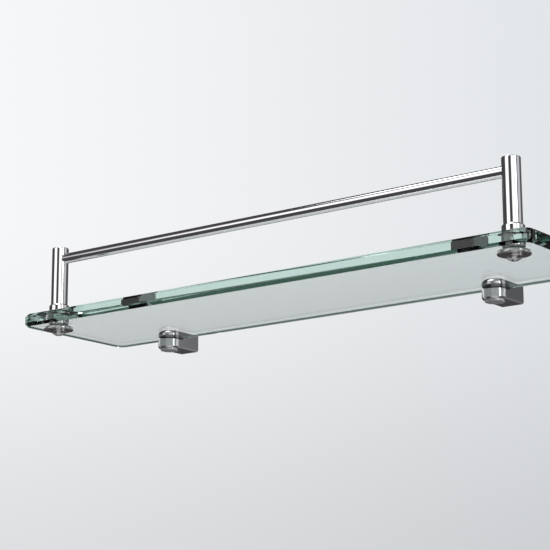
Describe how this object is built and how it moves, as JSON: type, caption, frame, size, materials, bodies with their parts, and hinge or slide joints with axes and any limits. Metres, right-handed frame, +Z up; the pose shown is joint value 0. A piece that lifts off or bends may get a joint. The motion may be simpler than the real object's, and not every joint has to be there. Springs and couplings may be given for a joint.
{
  "type": "wall shelf with brackets",
  "caption": "Glass wall shelf with a chrome guard rail on posts at its front corners, gripped along its back edge by D-shaped chrome wall clamps.",
  "frame": {"origin": "on the wall's surface, at the middle of the pane's length, level with the underside of the glass", "axes": "+X along the shelf to the right as seen from the room, +Y into the wall, +Z up"},
  "size_m": [0.455, 0.1385, 0.0731],
  "materials": {
    "clear_glass": "clear float glass with a green tint, polished bevelled edges",
    "polished_chrome": "polished chrome plate",
    "satin_chrome": "satin chrome plate",
    "stainless": "turned stainless steel",
    "black_gasket": "matt",
    "clear_vinyl": "milky clear soft vinyl"
  },
  "bodies": {
    "shelf": {"glass_shelf": "clear_glass", "guard_rail": "polished_chrome", "rail_post_left": "polished_chrome", "rail_post_right": "polished_chrome", "post_collar_left": "polished_chrome", "post_collar_right": "polished_chrome", "upper_gasket_left": "black_gasket", "upper_gasket_right": "black_gasket", "hole_sleeve_left": "clear_vinyl", "hole_sleeve_right": "clear_vinyl", "lower_gasket_left": "clear_vinyl", "lower_gasket_right": "clear_vinyl", "under_washer_left": "stainless", "under_washer_right": "stainless", "post_screw_left": "stainless", "post_screw_right": "stainless", "clamp_body_left": "polished_chrome", "clamp_body_right": "polished_chrome", "slot_liner_left": "black_gasket", "slot_liner_right": "black_gasket"},
    "pad_left": {"pressure_pad_left": "clear_vinyl"},
    "screw_left": {"clamp_screw_left": "satin_chrome"},
    "pad_right": {"pressure_pad_right": "clear_vinyl"},
    "screw_right": {"clamp_screw_right": "satin_chrome"}
  },
  "joints": [
    {"name": "pressure_pad_left_slide", "type": "slide", "parent": "shelf", "child": "pad_left", "axis": [0, 0, -1], "range_m": [0, 0.0015]},
    {"name": "clamp_screw_left_turn", "type": "hinge", "parent": "pad_left", "child": "screw_left", "pos_m": [-0.1695, -0.025, -0.0075], "axis": [0, 0, -1], "range_deg": [0, 540]},
    {"name": "pressure_pad_right_slide", "type": "slide", "parent": "shelf", "child": "pad_right", "axis": [0, 0, -1], "range_m": [0, 0.0015]},
    {"name": "clamp_screw_right_turn", "type": "hinge", "parent": "pad_right", "child": "screw_right", "pos_m": [0.136, -0.025, -0.0075], "axis": [0, 0, -1], "range_deg": [0, 540]}
  ],
  "couplings": [
    {"joint": "pressure_pad_left_slide", "follows": "clamp_screw_left_turn", "m_per_rad": 0.00015915},
    {"joint": "pressure_pad_right_slide", "follows": "clamp_screw_right_turn", "m_per_rad": 0.00015915}
  ]
}
